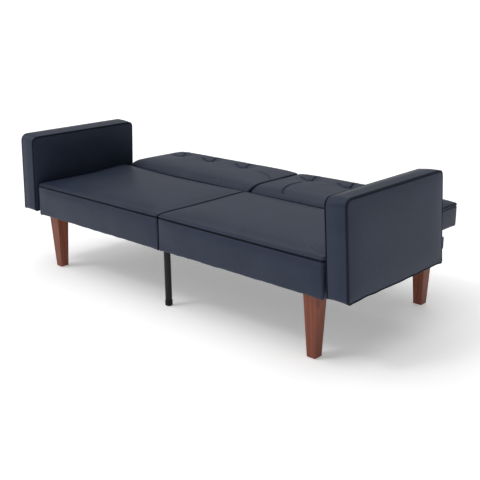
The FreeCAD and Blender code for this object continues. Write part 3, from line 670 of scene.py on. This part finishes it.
def over_base(grid, shaped, name, low):
    """Opens a seat half from below, behind its front, so that it lies on the rails and on the deck."""
    deck_low, deck_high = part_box(f"seat_deck_{name}")
    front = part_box(f"seat_fascia_{name}")[0][1]
    rail_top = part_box(f"base_side_rail_{name}")[1][2]
    knee = deck_high[2] + KNEE
    underside = grid[:, 2] < low[2] + SAME
    on_deck = (grid[:, 0] > deck_low[0]) & (grid[:, 0] < deck_high[0]) & (grid[:, 1] < deck_high[1])
    on_deck &= underside
    rest = np.where(on_deck, deck_high[2] + CLEAR, rail_top + RAIL_CLEAR)
    share = np.clip((shaped[:, 2] - low[2]) / (knee - low[2]), 0, 1)
    at_end = abs(grid[:, 0]) > abs(grid[:, 0]).max() - SAME
    behind = (grid[:, 1] > front) & (shaped[:, 2] < knee) & ~at_end
    shaped[:, 2] = np.where(behind, rest + share * (knee - rest), shaped[:, 2])
    return shaped


# ---------------------------------------------------------------- backs

def button_centres(name):
    """Centres of a back's buttons, from left to right, with the height of their tops."""
    points = np.array([v.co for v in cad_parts[f"back_buttons_{name}"].data.vertices])
    points = points[np.argsort(points[:, 0])]
    groups = np.split(points, np.nonzero(np.diff(points[:, 0]) > 0.05)[0] + 1)
    return [((g.max(0) + g.min(0)) / 2)[:2].tolist() + [g[:, 2].max()] for g in groups]


def back_creases(side, low, high, buttons):
    """Pulled creases on a back: each one's path in X and Y, and its shape."""
    found = []
    far = high[1] - 0.004
    near = low[1] + 0.004
    for x, y, _ in buttons:
        lean = 0.010 * math.sin(x * 19)
        to_far = bent((x + 0.006, y - 0.010), (x + 0.004, y + 0.030), (x - 0.010 + lean, far))
        to_left = bent((x - 0.002, y - 0.013), (x - 0.030, y - 0.010), (x - 0.070, y + 0.012 + lean))
        to_right = bent((x + 0.012, y - 0.002), (x + 0.034, y + 0.004), (x + 0.060, y + 0.018))
        found += [(to_far, PULL_SHAPE), (to_left, PULL_SHAPE), (to_right, SOFT_PULL_SHAPE)]
    if side < 0:
        last = buttons[-1][0]
        arc = bent((last + 0.047, 0.215), (last + 0.050, 0.150), (last + 0.084, near))
        thin = bent((last + 0.135, 0.327), (last + 0.222, 0.312), (high[0] - 0.002, 0.258))
        found += [(arc, ARC_SHAPE), (thin, THIN_SHAPE)]
    else:
        first = buttons[0][0]
        strong = bent((first + 0.016, 0.322), (first + 0.002, 0.200), (first + 0.054, low[1]))
        found.append((strong, STRONG_SHAPE))
    return found


def back_half(name, side):
    low, high = (np.array(corner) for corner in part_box(f"back_pad_{name}"))
    middle, half = (low + high) / 2, (high - low) / 2
    seam = high[2] - BACK_SEAM_DROP
    buttons = button_centres(name)
    outer = high[0] if side > 0 else low[0]

    def form(points):
        up = smooth((points[:, 2] - low[2]) / (high[2] - low[2]))
        near = smooth((middle[1] - points[:, 1]) / half[1] * 0.5 + 0.5)
        far_r = BACK_EDGE_R + BACK_LOW_EXTRA * (1 - up)
        near_y, near_z = (least + growth * up for least, growth in BACK_NEAR_R)
        shaped = round_box(points, low, high, np.stack(
            [far_r, far_r + (near_y - far_r) * near, far_r + (near_z - far_r) * near], 1))
        rounded_corner(shaped, (0, 1), (outer, high[1]), (side, 1), BACK_CORNER_R[name])
        across, deep = ((points[:, a] - middle[a]) / half[a] for a in (0, 1))
        crown = BACK_CROWN * (1 - across ** 6) * (1 - deep ** 4)
        lift = BACK_FAR_LIFT * smooth(deep) * (1 - across ** 8)
        shaped[:, 2] += up * (crown + lift - BACK_SINK)
        off_edge = smooth((high[1] - 0.006 - points[:, 1]) / 0.035)
        for x, y, _ in buttons:
            gap = np.hypot((points[:, 0] - x) / TUFT_STRETCH, points[:, 1] - y)
            shaped[:, 2] -= up * off_edge * TUFT_DEPTH * np.exp(-gap / TUFT_REACH)
        return shaped

    def held(points):
        pinned = (points[:, 2] < high[2] - SAME) & (points[:, 2] > seam - COARSE)
        pinned |= points[:, 2] < low[2] + SAME
        for x, y, _ in buttons:
            pinned |= np.hypot(points[:, 0] - x, points[:, 1] - y) < COARSE * 1.1
        return pinned.astype(float)

    slots = hinge_slots(name)
    dense = [[(low[0], 0.016, 0.003), (high[0], 0.016, 0.003)]
             + [((a + b) / 2, (b - a) / 2, (b - a) / 6) for a, b in slots],
             [(low[1], 0.03, 0.003), (high[1], 0.02, 0.003)], [(seam, SEAM_REACH, SEAM_STEP)]]
    grid, shaped, quads, index = soft_block(low, high, form, held, dense, BACK_PUFF, BACK_FINE)
    normals = normals_of(shaped, quads)
    walls = (grid[:, 2] > low[2] + SAME) & (grid[:, 2] < high[2] - SAME) & (grid[:, 1] > low[1] + SAME)
    top = grid[:, 2] > high[2] - SAME
    off_seam = abs(grid[:, 2] - seam)
    seam_depth, seam_width, shadow = BACK_SEAM
    depth = seam_depth * crease(off_seam, seam_width) * walls
    # Painted shadow along the seam.
    painted_shade = 0.9 * np.exp(-(off_seam / shadow) ** 2) * walls
    flat = grid[:, :2]
    dent, dent_reach = BUTTON_DENT
    ring_r, ring_width = BUTTON_SHADOW
    for x, y, _ in buttons:
        gap = np.hypot(flat[:, 0] - x, flat[:, 1] - y)
        depth += top * dent * np.exp(-(gap / dent_reach) ** 2)
        # Painted shadow: a dark ring round each button, darker on its near side.
        near_lip = smooth((y - 0.004 - flat[:, 1]) / 0.008)
        ring = np.exp(-((gap - ring_r) / ring_width) ** 2)
        painted_shade = np.maximum(painted_shade, top * (0.35 + 0.6 * near_lip) * ring)
    groove, shade = pulled(flat, back_creases(side, low, high, buttons))
    depth += top * groove
    # Painted shade in the pulled creases.
    painted_shade = np.maximum(painted_shade, top * shade)
    shaped = shaped - normals * depth[:, None]
    shaped[:, 0] = side * np.maximum(side * shaped[:, 0], HALVES_APART)
    shaped[:, 1] = np.maximum(shaped[:, 1], low[1])
    for x in (low[0], high[0]):
        shaped = drawn_out(shaped, (x, high[1], low[2]), *BACK_LIP)
    path = top_edge(shaped, index)
    shaped = over_frame(grid, shaped, name, low, slots)
    made = piece(f"back_cushion_{name}", shaped, quads, LEATHER, f"back_{name}", painted_shade)
    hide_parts(f"back_pad_{name}")
    welt(f"back_welt_{name}", path, BACK_WELT_R, PAINTED_SHADE_PIPING, f"back_{name}", closed=False)


def top_edge(shaped, index):
    """The run of a back's top edge along one end, the far side and the other end."""
    sheet = index[:, :, -1]
    skip = sheet.shape[1] // 3
    ring = np.concatenate([sheet[0, skip:-1], sheet[:-1, -1], sheet[-1, :skip:-1]])
    return evenly(shaped[ring], WELT_STEP)


def hinge_slots(name):
    """The X spans of the slots that a back's two hinges need, from the pawls' places."""
    spans = []
    free, plate = SLOT_SPARE
    for place, rail_way in (("outer", 1), ("inner", -1)):
        low, high = (abs(corner[0]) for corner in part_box(f"pawl_{name}_{place}"))
        low, high = min(low, high), max(low, high)
        span = (low - free, high + plate) if rail_way > 0 else (low - plate, high + free)
        spans.append(span if SIDES[name] > 0 else (-span[1], -span[0]))
    return sorted(spans)


def over_frame(grid, shaped, name, low, slots):
    """Opens a back from below for its wooden frame, and cuts a slot for each hinge."""
    rib_ends = [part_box(f"back_rib_{place}_{name}") for place in ("outer", "inner")]
    frame_x = (min(b[0][0] for b in rib_ends), max(b[1][0] for b in rib_ends))
    frame_y = (rib_ends[0][0][1], rib_ends[0][1][1])
    board_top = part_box(f"back_board_{name}")[1][2]
    underside = grid[:, 2] < low[2] + SAME
    inside = underside & (grid[:, 0] > frame_x[0]) & (grid[:, 0] < frame_x[1])
    inside &= (grid[:, 1] > frame_y[0]) & (grid[:, 1] < frame_y[1])
    shaped[inside, 2] = board_top + CLEAR
    ear_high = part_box("hinge_ears")[1]
    slot_y, slot_z = ear_high[1] + SLOT_CLEAR, ear_high[2] + SLOT_CLEAR
    near_face = (grid[:, 1] < low[1] + SAME) & ~underside
    skin_low = slot_z - 2 * SLOT_CLEAR
    skin = (near_face | (grid[:, 2] > grid[:, 2].max() - SAME)) & (shaped[:, 2] > skin_low)
    for first, last in slots:
        column = (grid[:, 0] > first - 10 * SAME) & (grid[:, 0] < last + 10 * SAME)
        over = shaped[column & skin][:, 1:]
        over = over[np.argsort(over[:, 0])]
        below = column & underside & (grid[:, 1] < slot_y)
        share = (slot_y - grid[:, 1]) / (slot_y - low[1])
        shaped[below, 1] = slot_y
        shaped[below, 2] = (low[2] + (slot_z - low[2]) * share)[below]
        ahead = column & near_face & (shaped[:, 2] < skin_low - CLEAR)
        share = (grid[:, 2] - low[2]) / (grid[ahead, 2].max() - low[2])
        shaped[ahead, 1] = (slot_y + (low[1] - slot_y) * share)[ahead]
        roof = np.interp(shaped[ahead, 1], over[:, 0], over[:, 1]) - SLOT_SKIN
        shaped[ahead, 2] = np.minimum(slot_z, roof)
    return shaped


# ---------------------------------------------------------------- arms

def to_rim(grid, lo, hi):
    """Distance from each grid point to the nearest of a slab's four narrow sides."""
    return np.min([grid[:, 1] - lo[1], hi[1] - grid[:, 1], grid[:, 2] - lo[2], hi[2] - grid[:, 2]], 0)


def arm(name, side):
    low, high = (np.array(corner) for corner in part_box(f"arm_pad_{name}"))
    inner_top = min(abs(low[0]), abs(high[0]))
    outer_low = max(abs(low[0]), abs(high[0]))
    points = np.array([v.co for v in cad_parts[f"arm_pad_{name}"].data.vertices])
    outer_top = abs(points[points[:, 2] > high[2] - CLEAR][:, 0]).max()
    lean = (outer_low - outer_top) / (high[2] - low[2])
    thick = outer_top - inner_top
    lo = np.array([0.0, low[1], low[2]])
    hi = np.array([thick, high[1], high[2]])

    def form(grid):
        t = grid[:, 0] if side > 0 else thick - grid[:, 0]
        rim = to_rim(grid, lo, hi)
        edge = np.minimum(t, thick - t)
        a, b = np.maximum(ARM_EDGE_R - rim, 0), np.maximum(ARM_EDGE_R - edge, 0)
        length = np.maximum(np.hypot(a, b), ARM_EDGE_R)
        rim = np.where(rim < ARM_EDGE_R, ARM_EDGE_R - ARM_EDGE_R * a / length, rim)
        edge = np.where(edge < ARM_EDGE_R, ARM_EDGE_R - ARM_EDGE_R * b / length, edge)
        t = np.where(t > thick / 2, thick - edge, edge)
        shaped = grid.copy()
        inset = np.minimum(rim, 0.1)
        for axis in (1, 2):
            shaped[:, axis] = np.clip(grid[:, axis], lo[axis] + inset, hi[axis] - inset)
        for (y_way, z_way), radius in ARM_CORNERS.items():
            corner = (hi[1] if y_way > 0 else lo[1], hi[2] if z_way > 0 else lo[2])
            rounded_corner(shaped, (1, 2), corner, (y_way, z_way), radius)
        along = (grid[:, 1] - (lo[1] + hi[1]) / 2) / (hi[1] - lo[1]) * 2
        tall = (grid[:, 2] - (lo[2] + hi[2]) / 2) / (hi[2] - lo[2]) * 2
        pillow = (1 - along ** 6) * (1 - tall ** 6)
        off_middle = abs(t - thick / 2) / thick * 2
        bulge = np.where(t > thick / 2, ARM_BULGE[1], ARM_BULGE[0])
        t = t + pillow * bulge * smooth((off_middle - 0.6) * 3)
        strip = smooth(1 - abs(t - thick / 2) / thick * 2)
        shaped[:, 1] += np.sign(along) * ARM_END_CROWN * strip * (abs(along) > 0.98)
        shaped[:, 2] += ARM_TOP_CROWN * strip * (tall > 0.98) * (1 - along ** 4)
        shaped[:, 2] += ARM_TOP_RISE * np.clip(t / thick, 0, 1) * smooth((tall - 0.4) / 0.6)
        shaped[:, 0] = side * (inner_top + t + lean * (hi[2] - shaped[:, 2]))
        return shaped

    def held(grid):
        edge = np.minimum(grid[:, 0], thick - grid[:, 0])
        return ((edge < SAME) & (to_rim(grid, lo, hi) < SAME) | (grid[:, 2] < lo[2] + SAME)).astype(float)

    rims = [[(end[a], RIM_REACH, RIM_STEP) for end in (lo, hi)] for a in range(3)]
    grid, shaped, quads, index = soft_block(lo, hi, form, held, rims, ARM_PUFF, ARM_FINE)
    hem_height, hem_sag = ARM_HEM
    hem = smooth((lo[2] + hem_height - grid[:, 2]) / hem_height)
    shaped[:, 2] += hem * hem_sag * wander(shaped, 0.09, ARM_SEEDS[side])
    off_welt = np.minimum(grid[:, 0], thick - grid[:, 0]) + to_rim(grid, lo, hi)
    normals = normals_of(shaped, quads)
    deepest, place, width = WELT_GROOVE
    shaped = shaped - normals * (deepest * np.exp(-((off_welt - place) / width) ** 2))[:, None]
    place, width = WELT_SHADOW
    # Painted shadow beside each welt.
    painted_shade = np.exp(-((off_welt - place) / width) ** 2)
    reach, (out_x, out_y, down) = ARM_LIP
    for offset in (0.0, thick):
        for y, way in ((lo[1], -1), (hi[1], 1)):
            tip = (side * (inner_top + offset + lean * (hi[2] - lo[2])), y, lo[2])
            shaped = drawn_out(shaped, tip, reach, (out_x * side, out_y * way, down))
    made = piece(f"arm_cover_{name}", shaped, quads, LEATHER, "base", painted_shade)
    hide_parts(f"arm_pad_{name}")
    for which, face in (("inner", 0 if side > 0 else -1), ("outer", -1 if side > 0 else 0)):
        sheet = index[face]
        ring = np.concatenate([sheet[:-1, 0], sheet[-1, :-1], sheet[:0:-1, -1], sheet[0, :0:-1]])
        path = evenly(shaped[ring], WELT_STEP, closed=True)
        welt(f"arm_welt_{which}_{name}", path, WELT_R, PAINTED_SHADE_PIPING, "base")


# ---------------------------------------------------------------- buttons

def button(name, x, y, z, body, number):
    """A domed, leather-covered tufting button with small gathers at its rim."""
    radius, height, sectors, gathers = BUTTON_R, BUTTON_HEIGHT, 36, 12
    profile = [(0.0, height), (0.25, 0.97 * height), (0.5, 0.88 * height), (0.72, 0.70 * height),
               (0.9, 0.42 * height), (1.0, 0.10 * height), (0.97, -0.15 * height), (0.8, -0.30 * height)]
    points, quads = [(x, y, z)], []
    for share, rise in profile[1:]:
        for turn in range(sectors):
            angle = FULL_TURN * turn / sectors
            gather = 1 + 0.025 * share * math.cos(angle * gathers + number)
            points.append((x + radius * share * gather * math.cos(angle),
                           y + radius * share * gather * math.sin(angle), z - height + rise))
    rings = len(profile) - 1
    for turn in range(sectors):
        after = (turn + 1) % sectors
        quads.append((0, 1 + turn, 1 + after))
        for ring in range(rings - 1):
            a, b = 1 + ring * sectors, 1 + (ring + 1) * sectors
            quads.append((a + turn, b + turn, b + after, a + after))
    quads.append(tuple(1 + (rings - 1) * sectors + t for t in range(sectors))[::-1])
    return piece(f"button_{name}_{number}", points, quads, LEATHER, body)


for name, side in SIDES.items():
    seat_half(name, side)
    back_half(name, side)
    arm(name, side)
    buttons = [button(name, *place, f"back_{name}", n) for n, place in enumerate(button_centres(name), 1)]
    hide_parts(f"back_buttons_{name}")


# ---------------------------------------------------------------- floor, light, camera

def sun(label, way, spread, strength):
    light = bpy.data.lights.new(label, "SUN")
    light.angle = math.radians(spread)
    light.energy = strength
    lamp = bpy.data.objects.new(label, light)
    lamp.rotation_euler = Vector(way).to_track_quat("-Z", "Y").to_euler()
    bpy.context.scene.collection.objects.link(lamp)


def studio():
    floor_material, tree, principled = shader("pale_floor", Roughness=0.9, Specular_IOR_Level=0.2)
    principled.inputs["Base Color"].default_value = (FLOOR_TONE, FLOOR_TONE, FLOOR_TONE, 1)
    principled.inputs["Emission Color"].default_value = (1, 1, 1, 1)
    principled.inputs["Emission Strength"].default_value = FLOOR_GLOW
    corners = [(x * FLOOR_REACH, y * FLOOR_REACH, 0) for x, y in ((-1, -1), (1, -1), (1, 1), (-1, 1))]
    floor = piece("floor", corners, [(0, 1, 2, 3)], floor_material, None)
    world = bpy.data.worlds.new("studio")
    world.use_nodes = True
    tree = world.node_tree
    way = add(tree, "ShaderNodeSeparateXYZ", Vector=add(tree, "ShaderNodeTexCoord").outputs["Generated"])
    glow = add(tree, "ShaderNodeMapRange", Value=way.outputs["Z"])
    for key, value in (("From Min", 0.0), ("From Max", HORIZON), ("To Min", 1.0), ("To Max", SKY)):
        glow.inputs[key].default_value = value
    tree.links.new(glow.outputs["Result"], tree.nodes["Background"].inputs["Strength"])
    tree.nodes["Background"].inputs["Color"].default_value = (1, 1, 1, 1)
    bpy.context.scene.world = world
    for each in SUNS:
        sun(*each)
    bpy.context.scene.view_settings.view_transform = "Standard"


def camera():
    yaw, pitch, roll = (math.radians(a) for a in (CAMERA_YAW, CAMERA_PITCH, CAMERA_ROLL))
    ahead = Vector((-math.sin(yaw) * math.cos(pitch), math.cos(yaw) * math.cos(pitch), math.sin(pitch)))
    right = Vector((math.cos(yaw), math.sin(yaw), 0))
    up = right.cross(ahead)
    turned = math.cos(roll) * right + math.sin(roll) * up
    upright = -math.sin(roll) * right + math.cos(roll) * up
    lens = bpy.data.cameras.new("camera")
    lens.lens = CAMERA_LENS
    made = bpy.data.objects.new("camera", lens)
    facing = Matrix((turned, upright, -ahead)).transposed().to_4x4()
    made.matrix_world = Matrix.Translation(CAMERA_AT) @ facing
    bpy.context.scene.collection.objects.link(made)
    bpy.context.scene.camera = made


studio()
camera()
bpy.context.view_layer.update()
